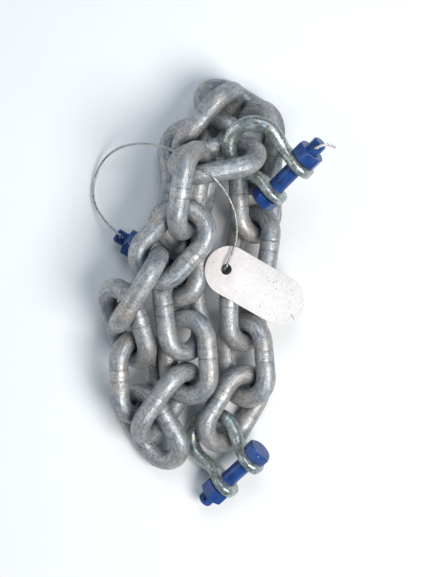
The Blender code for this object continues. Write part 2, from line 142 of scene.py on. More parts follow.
# ------------------------------------------------------------------ meshes
def mesh_object(name, verts, faces, mat, node, smooth=True, attrs=None):
    me = bpy.data.meshes.new(name)
    me.from_pydata([tuple(v) for v in verts], [], faces)
    me.validate()
    bm = bmesh.new()
    bm.from_mesh(me)
    bmesh.ops.recalc_face_normals(bm, faces=bm.faces)
    bm.to_mesh(me)
    bm.free()
    for k, vals in (attrs or {}).items():
        vals = np.asarray(vals, np.float32)
        if vals.ndim == 1:
            at = me.attributes.new(k, "FLOAT", "POINT")
            at.data.foreach_set("value", vals)
        else:
            at = me.attributes.new(k, "FLOAT_VECTOR", "POINT")
            at.data.foreach_set("vector", vals.ravel())
    me.polygons.foreach_set("use_smooth", [smooth] * len(me.polygons))
    ob = bpy.data.objects.new(name, me)
    bpy.context.scene.collection.objects.link(ob)
    me.materials.append(mat)
    if node:
        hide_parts(node)
    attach(ob, "root")
    return ob


def ring_faces(rings, sides, closed, caps=True):
    faces = []
    for k in range(rings if closed else rings - 1):
        k2 = (k + 1) % rings
        for q in range(sides):
            q2 = (q + 1) % sides
            faces.append((k * sides + q, k2 * sides + q, k2 * sides + q2, k * sides + q2))
    if not closed and caps:
        faces.append(tuple(range(sides)))
        faces.append(tuple((rings - 1) * sides + q for q in reversed(range(sides))))
    return faces


def link_centre(t):
    """Centreline of a link by length t from the middle of one leg: point and outward side, mm."""
    R = (LINK_WID - BAR) / 2
    S = (LINK_LEN - BAR) - 2 * R
    per = 2 * S + 2 * math.pi * R
    t = t % per
    if t < S / 2:
        return (t, R), (0, 1)
    t -= S / 2
    if t < math.pi * R:
        a = t / R
        return (S / 2 + R * math.sin(a), R * math.cos(a)), (math.sin(a), math.cos(a))
    t -= math.pi * R
    if t < S:
        return (S / 2 - t, -R), (0, -1)
    t -= S
    if t < math.pi * R:
        a = t / R
        return (-S / 2 - R * math.sin(a), -R * math.cos(a)), (-math.sin(a), -math.cos(a))
    t -= math.pi * R
    return (-S / 2 + t, R), (0, 1)


LINK_PER = 2 * ((LINK_LEN - BAR) - (LINK_WID - BAR)) + math.pi * (LINK_WID - BAR)


# ------------------------------------------------------------------ shader helpers
class Nodes:
    """Short-hand for wiring a material."""

    def __init__(self, name):
        self.mat = bpy.data.materials.new(name)
        self.mat.use_nodes = True
        self.t = self.mat.node_tree
        self.bsdf = self.t.nodes["Principled BSDF"]
        self.coord = self.t.nodes.new("ShaderNodeTexCoord").outputs["Object"]

    def put(self, socket, value):
        if hasattr(value, "is_output") or isinstance(value, bpy.types.NodeSocket):
            self.t.links.new(value, socket)
        else:
            socket.default_value = value

    def noise(self, scale, detail=3.0, rough=0.55, distort=0.0, coord=None, stretch=None):
        n = self.t.nodes.new("ShaderNodeTexNoise")
        c = coord or self.coord
        if stretch:
            m = self.t.nodes.new("ShaderNodeMapping")
            m.inputs["Scale"].default_value = stretch
            self.put(m.inputs["Vector"], c)
            c = m.outputs["Vector"]
        self.put(n.inputs["Vector"], c)
        n.inputs["Scale"].default_value = scale
        n.inputs["Detail"].default_value = detail
        n.inputs["Roughness"].default_value = rough
        n.inputs["Distortion"].default_value = distort
        return n.outputs["Fac"]

    def cells(self, scale, feature="F1", coord=None, out="Distance"):
        n = self.t.nodes.new("ShaderNodeTexVoronoi")
        n.feature = feature
        self.put(n.inputs["Vector"], coord or self.coord)
        n.inputs["Scale"].default_value = scale
        return n.outputs[out]

    def ramp(self, value, stops, ease="LINEAR"):
        n = self.t.nodes.new("ShaderNodeValToRGB")
        n.color_ramp.interpolation = ease
        e = n.color_ramp.elements
        while len(e) < len(stops):
            e.new(0.5)
        for k, (p, c) in enumerate(stops):
            e[k].position = p
            e[k].color = (c, c, c, 1) if isinstance(c, (int, float)) else (*c, 1)
        self.put(n.inputs["Fac"], value)
        return n.outputs["Color"]

    def math(self, op, a, b=None, clamp=False):
        n = self.t.nodes.new("ShaderNodeMath")
        n.operation = op
        n.use_clamp = clamp
        self.put(n.inputs[0], a)
        if b is not None:
            self.put(n.inputs[1], b)
        return n.outputs[0]

    def mix(self, fac, a, b, kind="MIX"):
        n = self.t.nodes.new("ShaderNodeMix")
        n.data_type = "RGBA"
        n.blend_type = kind
        self.put(n.inputs[0], fac)
        self.put(n.inputs[6], a if not isinstance(a, tuple) else (*a, 1))
        self.put(n.inputs[7], b if not isinstance(b, tuple) else (*b, 1))
        return n.outputs[2]

    def attr(self, name, out="Fac"):
        n = self.t.nodes.new("ShaderNodeAttribute")
        n.attribute_name = name
        return n.outputs[out]

    def bump(self, height, strength, distance, normal=None):
        n = self.t.nodes.new("ShaderNodeBump")
        n.inputs["Strength"].default_value = strength
        n.inputs["Distance"].default_value = distance
        self.put(n.inputs["Height"], height)
        if normal is not None:
            self.put(n.inputs["Normal"], normal)
        return n.outputs["Normal"]

    def set(self, name, value):
        self.put(self.bsdf.inputs[name], value)


def galvanised():
    """Weathered zinc: blue-grey, cloudy, with pits, dark specks and bright welds."""
    n = Nodes("galvanised")
    cloud = n.noise(60, 6, 0.65)
    grain = n.noise(380, 5, 0.65)
    fine = n.noise(1500, 3, 0.6)
    col = n.ramp(cloud, [(0.30, (0.24, 0.268, 0.30)), (0.50, (0.39, 0.40, 0.405)), (0.70, (0.58, 0.575, 0.56))])
    col = n.mix(n.ramp(grain, [(0.36, 0.6), (0.55, 0.0)]), col, (0.13, 0.145, 0.17))
    # fine streaks along the bar
    lines = n.noise(7.5, 4, 0.65, coord=n.attr("bar", "Vector"), stretch=(1.0, 1.0, 0.22))
    col = n.mix(n.ramp(lines, [(0.34, 0.5), (0.50, 0.0)]), col, (0.17, 0.18, 0.20))
    col = n.mix(n.ramp(lines, [(0.54, 0.0), (0.70, 0.55)]), col, (0.78, 0.78, 0.77))
    # warm film of old dust
    film = n.ramp(n.noise(30, 4, 0.6), [(0.46, 0.0), (0.66, 0.4)])
    col = n.mix(film, col, (0.40, 0.315, 0.245))
    # specks and pits
    cell = n.cells(820)
    where = n.ramp(n.noise(95, 4, 0.65), [(0.43, 0.0), (0.58, 1.0)])
    speck = n.math("MULTIPLY", n.ramp(cell, [(0.21, 1.0), (0.39, 0.0)]), where)
    cell2 = n.cells(330)
    where2 = n.ramp(n.noise(60, 3, 0.6), [(0.50, 0.0), (0.62, 1.0)])
    pit = n.math("MULTIPLY", n.ramp(cell2, [(0.12, 1.0), (0.25, 0.0)]), where2)
    dark = n.math("MAXIMUM", speck, pit)
    col = n.mix(n.math("MULTIPLY", dark, 0.75), col, (0.05, 0.05, 0.06))
    # the weld's collar
    weld = n.attr("weld")
    crease = n.attr("crease")
    streak = n.noise(26, 3, 0.6, coord=n.attr("bar", "Vector"), stretch=(0.35, 0.35, 1.2))
    bright = n.math("MULTIPLY", weld, n.ramp(streak, [(0.42, 0.0), (0.56, 1.0)]))
    col = n.mix(n.math("MULTIPLY", bright, 0.3), col, (0.66, 0.66, 0.67))
    col = n.mix(n.math("MULTIPLY", crease, 0.85), col, (0.07, 0.068, 0.07))
    # painted shade: the base colour turns dark blue-grey where another piece lies near, standing in for the shade in
    # the gaps
    gap_shade = n.math("ADD", n.attr("gap_shade"), n.math("MULTIPLY", n.math("SUBTRACT", n.noise(120, 4, 0.6), 0.5), 0.5))
    gap_shade = n.ramp(gap_shade, [(0.28, 0.0), (0.92, 0.88)])
    col = n.mix(gap_shade, col, (0.045, 0.07, 0.11))
    n.set("Base Color", col)
    n.set("Metallic", 0.52)
    rough = n.ramp(n.noise(140, 4, 0.6), [(0.35, 0.41), (0.65, 0.56)])
    rough = n.mix(bright, rough, (0.36, 0.36, 0.36))
    rough = n.mix(dark, rough, (0.8, 0.8, 0.8))
    n.set("Roughness", rough)
    h = n.bump(n.math("SUBTRACT", 1.0, dark), 0.55, 0.00022)
    h = n.bump(n.noise(230, 5, 0.68), 0.75, 0.0004, h)
    h = n.bump(fine, 0.3, 0.00008, h)
    n.set("Normal", h)
    return n.mat


def forged():
    """Worn zinc on the drop-forged bows: glossier, greenish, with a rough cast skin."""
    n = Nodes("galvanised_forged")
    col = n.ramp(n.noise(80, 6, 0.68), [(0.32, (0.17, 0.21, 0.22)), (0.50, (0.36, 0.41, 0.405)), (0.70, (0.62, 0.65, 0.62))])
    col = n.mix(n.ramp(n.noise(130, 5, 0.65), [(0.50, 0.0), (0.62, 0.5)]), col, (0.47, 0.40, 0.27))
    grain = n.noise(480, 5, 0.65)
    col = n.mix(n.ramp(grain, [(0.40, 0.5), (0.54, 0.0)]), col, (0.09, 0.11, 0.12))
    col = n.mix(n.ramp(grain, [(0.57, 0.0), (0.70, 0.4)]), col, (0.80, 0.83, 0.79))
    speck = n.ramp(n.cells(430), [(0.12, 1.0), (0.24, 0.0)])
    speck = n.math("MULTIPLY", speck, n.ramp(n.noise(100, 3, 0.6), [(0.46, 0.0), (0.58, 1.0)]))
    col = n.mix(n.math("MULTIPLY", speck, 0.75), col, (0.06, 0.065, 0.075))
    # painted shade: the base colour turns dark where another piece lies near, standing in for the shade in the gaps
    gap_shade = n.ramp(n.attr("gap_shade"), [(0.35, 0.0), (1.0, 0.7)])
    col = n.mix(gap_shade, col, (0.055, 0.075, 0.085))
    n.set("Base Color", col)
    n.set("Metallic", 0.7)
    n.set("Roughness", n.ramp(n.noise(160, 4, 0.6), [(0.33, 0.20), (0.68, 0.42)]))
    h = n.bump(n.noise(300, 5, 0.66), 0.7, 0.0005)
    h = n.bump(n.noise(110, 3, 0.5), 0.5, 0.0008, h)
    n.set("Normal", h)
    return n.mat


def blue_paint():
    """Blue paint over steel, thin and chipped along the edges."""
    n = Nodes("blue_paint")
    col = n.ramp(n.noise(120, 4, 0.6), [(0.32, (0.009, 0.030, 0.12)), (0.55, (0.017, 0.057, 0.21)), (0.75, (0.029, 0.088, 0.29))])
    edge = n.attr("edge")
    bite = n.math("ADD", n.noise(330, 5, 0.7), n.math("MULTIPLY", edge, 0.26))
    chip = n.ramp(bite, [(0.82, 0.0), (0.86, 1.0)])
    rub = n.ramp(n.math("ADD", n.noise(260, 4, 0.6), n.math("MULTIPLY", edge, 0.3)), [(0.68, 0.0), (0.95, 0.4)])
    col = n.mix(rub, col, (0.07, 0.14, 0.40))
    col = n.mix(chip, col, (0.40, 0.42, 0.46))
    dust = n.ramp(n.noise(260, 4, 0.6), [(0.64, 0.0), (0.82, 0.12)])
    col = n.mix(dust, col, (0.16, 0.19, 0.30))
    n.set("Base Color", col)
    n.set("Metallic", n.math("MULTIPLY", chip, 0.8))
    n.set("Roughness", n.ramp(n.noise(300, 3, 0.6), [(0.35, 0.27), (0.7, 0.42)]))
    n.set("Specular IOR Level", 0.25)
    n.set("Coat Weight", 0.22)
    n.set("Coat Roughness", 0.09)
    h = n.bump(n.noise(230, 4, 0.6), 0.35, 0.00022)
    h = n.bump(n.math("SUBTRACT", 1.0, chip), 0.5, 0.00012, h)
    n.set("Normal", h)
    return n.mat


def tag_plastic():
    """Pinkish white plastic, scuffed, with dirt near one end."""
    n = Nodes("tag_plastic")
    col = n.ramp(n.noise(22, 4, 0.55), [(0.30, (0.62, 0.58, 0.57)), (0.55, (0.68, 0.64, 0.63)), (0.75, (0.735, 0.705, 0.695))])
    along = n.attr("along")
    col = n.mix(n.ramp(along, [(0.05, 0.55), (0.55, 0.0)]), col, (0.70, 0.605, 0.57))
    fleck = n.math("MULTIPLY", n.ramp(n.cells(270), [(0.14, 1.0), (0.24, 0.0)]), n.ramp(n.noise(75, 3, 0.6), [(0.52, 0.0), (0.60, 1.0)]))
    col = n.mix(n.math("MULTIPLY", fleck, 0.75), col, (0.16, 0.165, 0.17))
    worn = n.ramp(n.noise(330, 5, 0.7), [(0.50, 0.0), (0.64, 0.5)])
    col = n.mix(worn, col, (0.80, 0.785, 0.765))
    dirt = n.ramp(n.math("ADD", n.noise(420, 6, 0.75), n.math("MULTIPLY", n.math("POWER", along, 2.0), 0.06)), [(0.56, 0.0), (0.68, 0.55)])
    col = n.mix(dirt, col, (0.38, 0.36, 0.35))
    scratch = n.noise(160, 2, 0.5, 0.4, stretch=(1.0, 9.0, 1.0))
    scratch = n.math("MULTIPLY", n.ramp(scratch, [(0.680, 0.0), (0.700, 1.0), (0.715, 0.0)]), n.ramp(n.noise(45, 2, 0.5), [(0.5, 0.0), (0.6, 1.0)]))
    col = n.mix(n.math("MULTIPLY", scratch, 0.5), col, (0.30, 0.27, 0.26))
    # one short dark nick near the far end
    dx = n.math("SUBTRACT", n.math("MULTIPLY", n.math("SUBTRACT", along, 0.5), TAG_LEN), 39.9)
    dy = n.math("ADD", n.math("MULTIPLY", n.attr("across"), TAG_WID / 2), 6.4)
    off = n.math("ABSOLUTE", n.math("ADD", dy, n.math("ADD", n.math("MULTIPLY", dx, 0.33), n.math("MULTIPLY", n.math("SUBTRACT", n.noise(300, 2, 0.5), 0.5), 3.0))))
    nick = n.math("MULTIPLY", n.ramp(off, [(0.30, 1.0), (0.60, 0.0)]), n.ramp(n.math("DIVIDE", n.math("ABSOLUTE", dx), 4.0), [(0.5, 1.0), (0.65, 0.0)]))
    col = n.mix(n.math("MULTIPLY", nick, 0.85), col, (0.07, 0.065, 0.06))
    rim = n.attr("edge")
    col = n.mix(n.math("MULTIPLY", rim, 0.45), col, (0.50, 0.46, 0.44))
    n.set("Base Color", col)
    n.set("Roughness", n.ramp(n.noise(90, 4, 0.6), [(0.35, 0.42), (0.7, 0.62)]))
    n.set("Specular IOR Level", 0.4)
    h = n.bump(n.noise(500, 4, 0.6), 0.2, 0.0001)
    h = n.bump(scratch, 0.3, 0.00008, h)
    n.set("Normal", h)
    return n.mat


def wire_steel(name="wire_steel", light=1.0, metal=0.85):
    n = Nodes(name)
    c = n.noise(500, 4, 0.6)
    col = n.ramp(c, [(0.35, (0.22 * light, 0.22 * light, 0.215 * light)), (0.52, (0.46 * light, 0.455 * light, 0.44 * light)), (0.7, (0.66 * light, 0.65 * light, 0.63 * light))])
    n.set("Base Color", col)
    n.set("Metallic", metal)
    n.set("Roughness", n.ramp(n.noise(900, 3, 0.6), [(0.35, 0.28), (0.7, 0.5)]))
    n.set("Normal", n.bump(n.noise(2500, 3, 0.6), 0.2, 0.00005))
    return n.mat


ZINC = galvanised()
FORGED = forged()
BLUE = blue_paint()
TAGMAT = tag_plastic()
ROPE = wire_steel()
PALE = wire_steel("wire_pale", 1.45, 0.35)


# ------------------------------------------------------------------ chain links
# where each link's weld shows in the picture; the weld is on the leg nearest to it
WELD = {
    "chain_link_01": (214, 150, 0.0), "chain_link_02": (186, 193, 2.0), "chain_link_03": (198, 262, 0.0), "chain_link_04": (132, 304, 0.0),
    "chain_link_05": (139, 318, 0.0), "chain_link_06": (116, 375, 0.0), "chain_link_07": (172, 413, 0.0), "chain_link_08": (158, 402, 0.0),
    "chain_link_09": (210, 352, 0.0), "chain_link_10": (168, 310, 0.0), "chain_link_11": (178, 262, 0.0), "chain_link_12": (170, 188, 0.0),
    "chain_link_13": (168, 195, 0.0), "chain_link_14": (206, 124, 0.0), "chain_link_15": (236, 118, 0.0), "chain_link_16": (270, 150, 0.0),
    "chain_link_17": (240, 200, 0.0), "chain_link_18": (282, 245, 0.0), "chain_link_19": (222, 302, 0.0), "chain_link_20": (269, 356, 0.0),
    "chain_link_21": (218, 392, 0.0),
}
RINGS, AROUND = 168, 32


def make_link(name, index):
    centre, rot, _ = axes_of(name)
    R_mid = (LINK_WID - BAR) / 2 * MM
    wx, wy, _ = WELD[name]
    legs = []
    for s in (1, -1):
        x, y = seen_at(centre + rot[:, 1] * s * R_mid)
        legs.append((math.hypot(x - wx, y - wy), s))
    side = min(legs)[1]
    if side < 0:
        rot = np.stack([-rot[:, 0], -rot[:, 1], rot[:, 2]], 1)
    # slide the weld along the leg to where it shows, within 5 mm of the middle
    x0, y0 = seen_at(centre + rot[:, 1] * R_mid)
    x1, y1 = seen_at(centre + rot[:, 1] * R_mid + rot[:, 0] * MM)
    dx, dy = x1 - x0, y1 - y0
    slide = ((wx - x0) * dx + (wy - y0) * dy) / max(dx * dx + dy * dy, 0.05)
    slide = max(-5.0, min(5.0, slide))
    verts, weld, crease, bar = [], [], [], []
    seed = 3.7 * index
    half = 4.2 + 0.5 * math.sin(index * 2.3)
    for k in range(RINGS):
        t = LINK_PER * k / RINGS
        (px, py), (nx, ny) = link_centre(t)
        far = (t + LINK_PER / 2) % LINK_PER - LINK_PER / 2 - slide
        for q in range(AROUND):
            a = 2 * math.pi * q / AROUND
            ca, sa = math.cos(a), math.sin(a)
            wob = 0.35 * nz((ca * 2, sa * 2, t / 9), 2.2, seed)
            d1, d2 = far - half + wob, far + half + 0.8 * wob
            cr = max(math.exp(-(d1 / 0.5) ** 2), math.exp(-(d2 / 0.5) ** 2))
            cr *= 0.6 + 0.6 * nz((ca, sa, seed), 0.6, seed)
            fold = math.sin(2.4 * far + 3.0 * nz((ca * 2, sa * 2, far / 3), 1.1, seed + 9))
            band = 1 / (1 + math.exp(-(half - abs(far)) / 0.35))
            x = px + nx * ca * BAR / 2
            y = py + ny * ca * BAR / 2
            z = sa * BAR / 2
            r = BAR / 2 - 0.05
            r += 0.10 * nz((x, y, z), 11, seed) + 0.04 * nz((x, y, z), 3.6, seed + 5)
            r += band * (0.08 + 0.12 * max(0.0, math.cos(5 * a + seed)) + 0.10 * nz((x, y, z), 1.7, seed))
            r -= band * 0.16 * max(0.0, fold - 0.35) + 0.42 * max(0.0, cr)
            r = min(r, BAR / 2 + 0.17)
            verts.append(((px + nx * ca * r) * MM, (py + ny * ca * r) * MM, sa * r * MM))
            weld.append(band)
            crease.append(max(0.0, min(1.0, max(cr, 0.75 * band * (fold - 0.45)))))
            bar.append((ca, sa, abs(far) / 10))
    ob = mesh_object(name + "_bar", verts, ring_faces(RINGS, AROUND, True), ZINC, name,
                     attrs={"weld": weld, "crease": crease, "bar": bar})
    ob.data.transform(pose(centre, rot))
    return ob


METAL = [make_link(f"chain_link_{i:02d}", i) for i in range(1, 22)]


# ------------------------------------------------------------------ shackles
# the forged ear: distance from the pin's axis towards the bow, half width across
# the bow's plane, half thickness along the pin, and squareness of the section
EAR_FORM = [
    (-13.2, 1.2, 1.0, 2.0), (-13.1, 3.0, 2.4, 2.1), (-12.4, 5.5, 3.9, 2.4), (-10.2, 9.0, 4.5, 2.8), (-6.0, 12.1, 4.7, 3.1), (0.0, 13.25, 4.7, 3.3),
    (4.5, 12.5, 4.7, 3.1), (8.5, 10.4, 4.7, 2.9), (12.5, 7.9, 4.8, 2.6), (16.5, 6.3, 5.15, 2.3), (20.5, 5.7, 5.4, 2.1), (24.5, 5.6, 5.6, 2.0), (29.0, 5.75, 5.75, 2.0),
    (33.2, 5.9, 5.9, 2.0),
]
LEG = [(0, 0), (12, 0), (18, 0.9), (23.5, 2.9), (29, 4.45), (33.2, 5.15)]   # how the legs spread from the ears


def through(rows, per):
    """Smooth rows between the rows of a table."""
    c = np.array(rows, float)
    c = np.vstack([2 * c[0] - c[1], c, 2 * c[-1] - c[-2]])
    out = []
    for k in range(1, len(c) - 2):
        p0, p1, p2, p3 = c[k - 1:k + 3]
        for j in range(per):
            t = j / per
            out.append(0.5 * (2 * p1 + (p2 - p0) * t + (2 * p0 - 5 * p1 + 4 * p2 - p3) * t * t + (3 * p1 - p0 - 3 * p2 + p3) * t ** 3))
    out.append(c[-2])
    return np.array(out)


def shackle_frame(name):
    """Middle of the pin and the axes: x to the bow, y to the bolt's head."""
    _, bolt_rot, _ = axes_of(name + "_bolt")
    body_c, body_rot, _ = axes_of(name + "_body")
    co_b, _ = surface(name + "_bolt")
    co_n, _ = surface(name + "_nut")
    nut = (co_n.min(0) + co_n.max(0)) / 2
    y = bolt_rot[:, 0]
    bolt_mid = co_b.mean(0)
    if (nut - bolt_mid) @ y > 0:
        y = -y
    # the head's end is flat, and stands a known way from the middle of the jaw
    end = (co_b @ y).max()
    head = JAW / 2 + EAR_T + 0.35 + HEAD_T
    axis_at = nut - y * (nut @ y)
    middle = axis_at + y * (end - head * MM)
    x = body_c - middle
    x = x - y * (x @ y)
    x /= np.linalg.norm(x)
    return middle, np.stack([x, y, np.cross(x, y)], 1)


def solid_of(name, verts, faces):
    me = bpy.data.meshes.new(name)
    me.from_pydata([tuple(float(x) for x in v) for v in verts], [], faces)
    bm = bmesh.new()
    bm.from_mesh(me)
    bmesh.ops.recalc_face_normals(bm, faces=bm.faces)
    bm.to_mesh(me)
    bm.free()
    ob = bpy.data.objects.new(name, me)
    bpy.context.scene.collection.objects.link(ob)
    return ob


def lathe_y(profile, sides):
    """Turned solid about y from (y, radius) pairs."""
    verts = []
    for y, r in profile:
        verts += [(r * math.cos(2 * math.pi * k / sides), y, r * math.sin(2 * math.pi * k / sides)) for k in range(sides)]
    return verts, ring_faces(len(profile), sides, False)


def evaluated(ob):
    dg = bpy.context.evaluated_depsgraph_get()
    me = bpy.data.meshes.new_from_object(ob.evaluated_get(dg))
    ob.modifiers.clear()
    old = ob.data
    ob.data = me
    bpy.data.meshes.remove(old)
    return ob


def forge_body():
    """One forging that swells from the bow into its ears; mm, in the shackle's own frame."""
    e = JAW / 2 + EAR_T / 2
    rows = through([(x, e + float(np.interp(x, *zip(*LEG))), w, t, p) for x, w, t, p in EAR_FORM], 6)
    m = 66
    R = BOW_R + 0.25
    arc = [(BOW_Y + R * math.sin(math.pi * k / m), R * math.cos(math.pi * k / m), 5.9, 5.9, 2.0) for k in range(1, m)]
    rows = np.vstack([rows, np.array(arc), rows[::-1] * np.array([1, -1, 1, 1, 1])])
    n, sides = len(rows), 44
    verts = []
    for k in range(n):
        d = rows[min(k + 1, n - 1), :2] - rows[max(k - 1, 0), :2]
        d /= np.linalg.norm(d)
        x, y, w, t, p = rows[k]
        for q in range(sides):
            a = 2 * math.pi * (q + 0.5) / sides
            c, s = math.cos(a), math.sin(a)
            c = math.copysign(abs(c) ** (2 / p), c)
            s = math.copysign(abs(s) ** (2 / p), s)
            verts.append((x + d[1] * t * c, y - d[0] * t * c, w * s))
    body = solid_of("bow", verts, ring_faces(n, sides, False))
    v, f = lathe_y([(-45, PIN / 2 + 0.25), (45, PIN / 2 + 0.25)], 48)
    hole = solid_of("hole", v, f)
    m = body.modifiers.new("bore", "BOOLEAN")
    m.operation = "DIFFERENCE"
    m.solver = "EXACT"
    m.object = hole
    evaluated(body)
    bpy.data.objects.remove(hole)
    me = body.data
    bpy.data.objects.remove(body)
    return me


def place_mesh(name, me, middle, rot, mat, node, rough_skin=0.0, seed=0.0):
    me = me.copy()
    me.name = name
    if rough_skin:
        me.calc_loop_triangles()
        for v in me.vertices:
            r = math.hypot(v.co.x, v.co.z)
            if abs(r - PIN / 2 - 0.25) < 0.6:
                continue
            d = rough_skin * (0.6 * nz(v.co, 7, seed) + 0.4 * nz(v.co, 2.4, seed + 2))
            v.co += v.normal * min(d, 0.10)
    me.transform(Matrix.Scale(MM, 4))
    me.transform(pose(middle, rot))
    ob = bpy.data.objects.new(name, me)
    bpy.context.scene.collection.objects.link(ob)
    me.materials.clear()
    me.materials.append(mat)
    me.polygons.foreach_set("use_smooth", [True] * len(me.polygons))
    me.set_sharp_from_angle(angle=math.radians(45))
    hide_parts(node)
    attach(ob, "root")
    return ob


def corner(af):
    return af / 2 / math.cos(math.pi / 6)


def hex_stack(af, y0, y1, phase, bore, chamfer0, chamfer1, sides=96, crown=0.96):
    """Hexagonal nut or head along y with turned chamfers; corners lie at phase."""
    rmax = corner(af)
    prof = []
    steps = 5
    for k in range(steps + 1):
        prof.append((y0 + chamfer0 * k / steps, rmax - (1 - k / steps) * (rmax - af / 2 * 0.985)))
    inner = 6
    for k in range(1, inner):
        prof.append((y0 + chamfer0 + (y1 - y0 - chamfer0 - chamfer1) * k / inner, rmax))
    for k in range(steps + 1):
        prof.append((y1 - chamfer1 * (1 - k / steps), rmax - (k / steps) ** 1.5 * (rmax - af / 2 * crown)))
    verts, edge = [], []
    for y, rc in prof:
        for q in range(sides):
            a = 2 * math.pi * q / sides
            k = (a - phase) % (math.pi / 3)
            flat = af / 2 / math.cos(k - math.pi / 6)
            r = min(flat, rc)
            # corners are rounded by 0.25 mm
            near = min(k, math.pi / 3 - k) * rmax
            r -= 0.22 * math.exp(-(near / 0.5) ** 2) if flat < rc + 0.01 else 0.0
            verts.append((r * math.cos(a), y, r * math.sin(a)))
            e = math.exp(-(near / 0.9) ** 2)
            rim = math.exp(-((y - y0) / 0.7) ** 2) + math.exp(-((y - y1) / 0.7) ** 2)
            brk = math.exp(-((rc - flat) / 0.35) ** 2)
            edge.append(min(1.0, max(e, 0.8 * rim, 0.8 * brk)))
    n = len(prof)
    faces = ring_faces(n, sides, False, caps=False)
    if bore:
        m = len(verts)
        for y in (y0, y1):
            for q in range(sides):
                a = 2 * math.pi * q / sides
                verts.append((bore * math.cos(a), y, bore * math.sin(a)))
                edge.append(0.7)
        for q in range(sides):
            q2 = (q + 1) % sides
            faces.append((q, q2, m + q2, m + q))
            faces.append(((n - 1) * sides + q2, (n - 1) * sides + q, m + sides + q, m + sides + q2))
            faces.append((m + q, m + q2, m + sides + q2, m + sides + q))
    else:
        # end faces in two rings so that the edge wear stays at the rim
        for y, base in ((y0, 0), (y1, (n - 1) * sides)):
            m = len(verts)
            for f in (0.9, 0.45):
                for q in range(sides):
                    x, _, z = verts[base + q]
                    verts.append((x * f, y, z * f))
                    edge.append(0.05)
            verts.append((0, y, 0))
            edge.append(0.0)
            for q in range(sides):
                q2 = (q + 1) % sides
                faces.append((base + q, base + q2, m + q2, m + q))
                faces.append((m + q, m + q2, m + sides + q2, m + sides + q))
                faces.append((m + sides + q, m + sides + q2, m + 2 * sides))
    return verts, faces, edge


def thread_stack(y0, y1, radius, depth, sides=64):
    """Threaded end from y0 out to y1 (y falls), with a point; one closed skin."""
    step = -PITCH / 8
    n = int((y1 - y0) / step) + 1
    verts, edge = [], []
    for k in range(n + 1):
        y = max(y1, y0 + step * k)
        left = y - y1
        for q in range(sides):
            a = 2 * math.pi * q / sides
            ph = (y / PITCH + a / (2 * math.pi)) % 1.0
            tooth = abs(2 * ph - 1)
            r = radius - depth * (1 - min(1.0, tooth * 1.15))
            r = min(r, radius - 1.5 * max(0.0, 1.3 - left) / 1.3)
            verts.append((r * math.cos(a), y, r * math.sin(a)))
            edge.append(0.75 * max(0.0, tooth * 1.6 - 0.7))
    return verts, edge, n + 1


